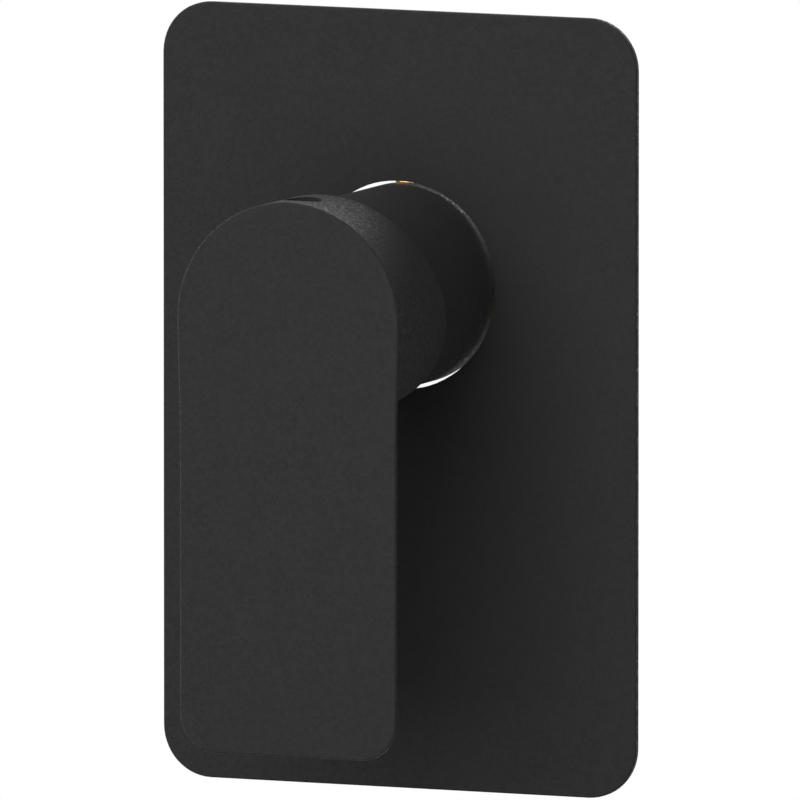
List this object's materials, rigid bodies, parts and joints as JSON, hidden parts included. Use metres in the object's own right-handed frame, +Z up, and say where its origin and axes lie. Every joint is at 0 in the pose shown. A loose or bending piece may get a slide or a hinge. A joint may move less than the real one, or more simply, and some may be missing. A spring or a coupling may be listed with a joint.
{
  "type": "concealed shower mixer",
  "caption": "Single-lever concealed shower mixer: flat cover plate, broad lever handle on a round sleeve, ceramic-disc cartridge and brass body fixed inside the wall.",
  "frame": {"origin": "on the control axis where it meets the finished wall, which is the back of the plate's seal", "axes": "+X to the right seen from the room, +Y into the wall along the control axis, +Z up"},
  "size_m": [0.119, 0.1188, 0.1813],
  "materials": {
    "matte_black": "matt black powder coat, fine grain",
    "gasket_foam": "closed-cell foam",
    "carrier_abs": "moulded, lightly textured",
    "seal_rubber": "smooth moulded rubber",
    "valve_brass": "cast and machined",
    "stainless": "machined",
    "acetal_white": "moulded",
    "acetal_grey": "moulded",
    "limit_red": "moulded",
    "alumina": "lapped"
  },
  "bodies": {
    "fixed": {"cover_plate": "matte_black", "plate_gasket": "gasket_foam", "plate_bracket": "carrier_abs", "rod_grips": "seal_rubber", "guide_rods": "valve_brass", "sleeve": "matte_black", "sleeve_o_ring": "seal_rubber", "valve_body": "valve_brass", "cartridge_nut": "valve_brass", "cartridge_housing": "acetal_white", "limit_ring": "limit_red", "cartridge_base": "acetal_white", "base_seals": "seal_rubber", "disc_seals": "seal_rubber", "fixed_disc": "alumina"},
    "turning": {"stem_carrier": "acetal_grey", "carrier_o_ring": "seal_rubber", "pivot_pin": "stainless"},
    "lever": {"handle": "matte_black", "handle_grub_screw": "stainless", "lever_stem": "stainless"},
    "slider": {"disc_carriage": "acetal_grey", "moving_disc": "alumina"}
  },
  "joints": [
    {"name": "temperature_turn", "type": "hinge", "parent": "fixed", "child": "turning", "pos_m": [0, -0.0416, 0], "axis": [0, 1, 0], "range_deg": [-50, 50]},
    {"name": "flow_tilt", "type": "hinge", "parent": "turning", "child": "lever", "pos_m": [0, -0.0416, 0], "axis": [-1, 0, 0], "range_deg": [0, 25]},
    {"name": "disc_slide", "type": "slide", "parent": "turning", "child": "slider", "axis": [0, 0, -1], "range_m": [0, 0.0042]}
  ],
  "couplings": [
    {"joint": "disc_slide", "follows": "flow_tilt", "m_per_rad": 0.0094}
  ]
}
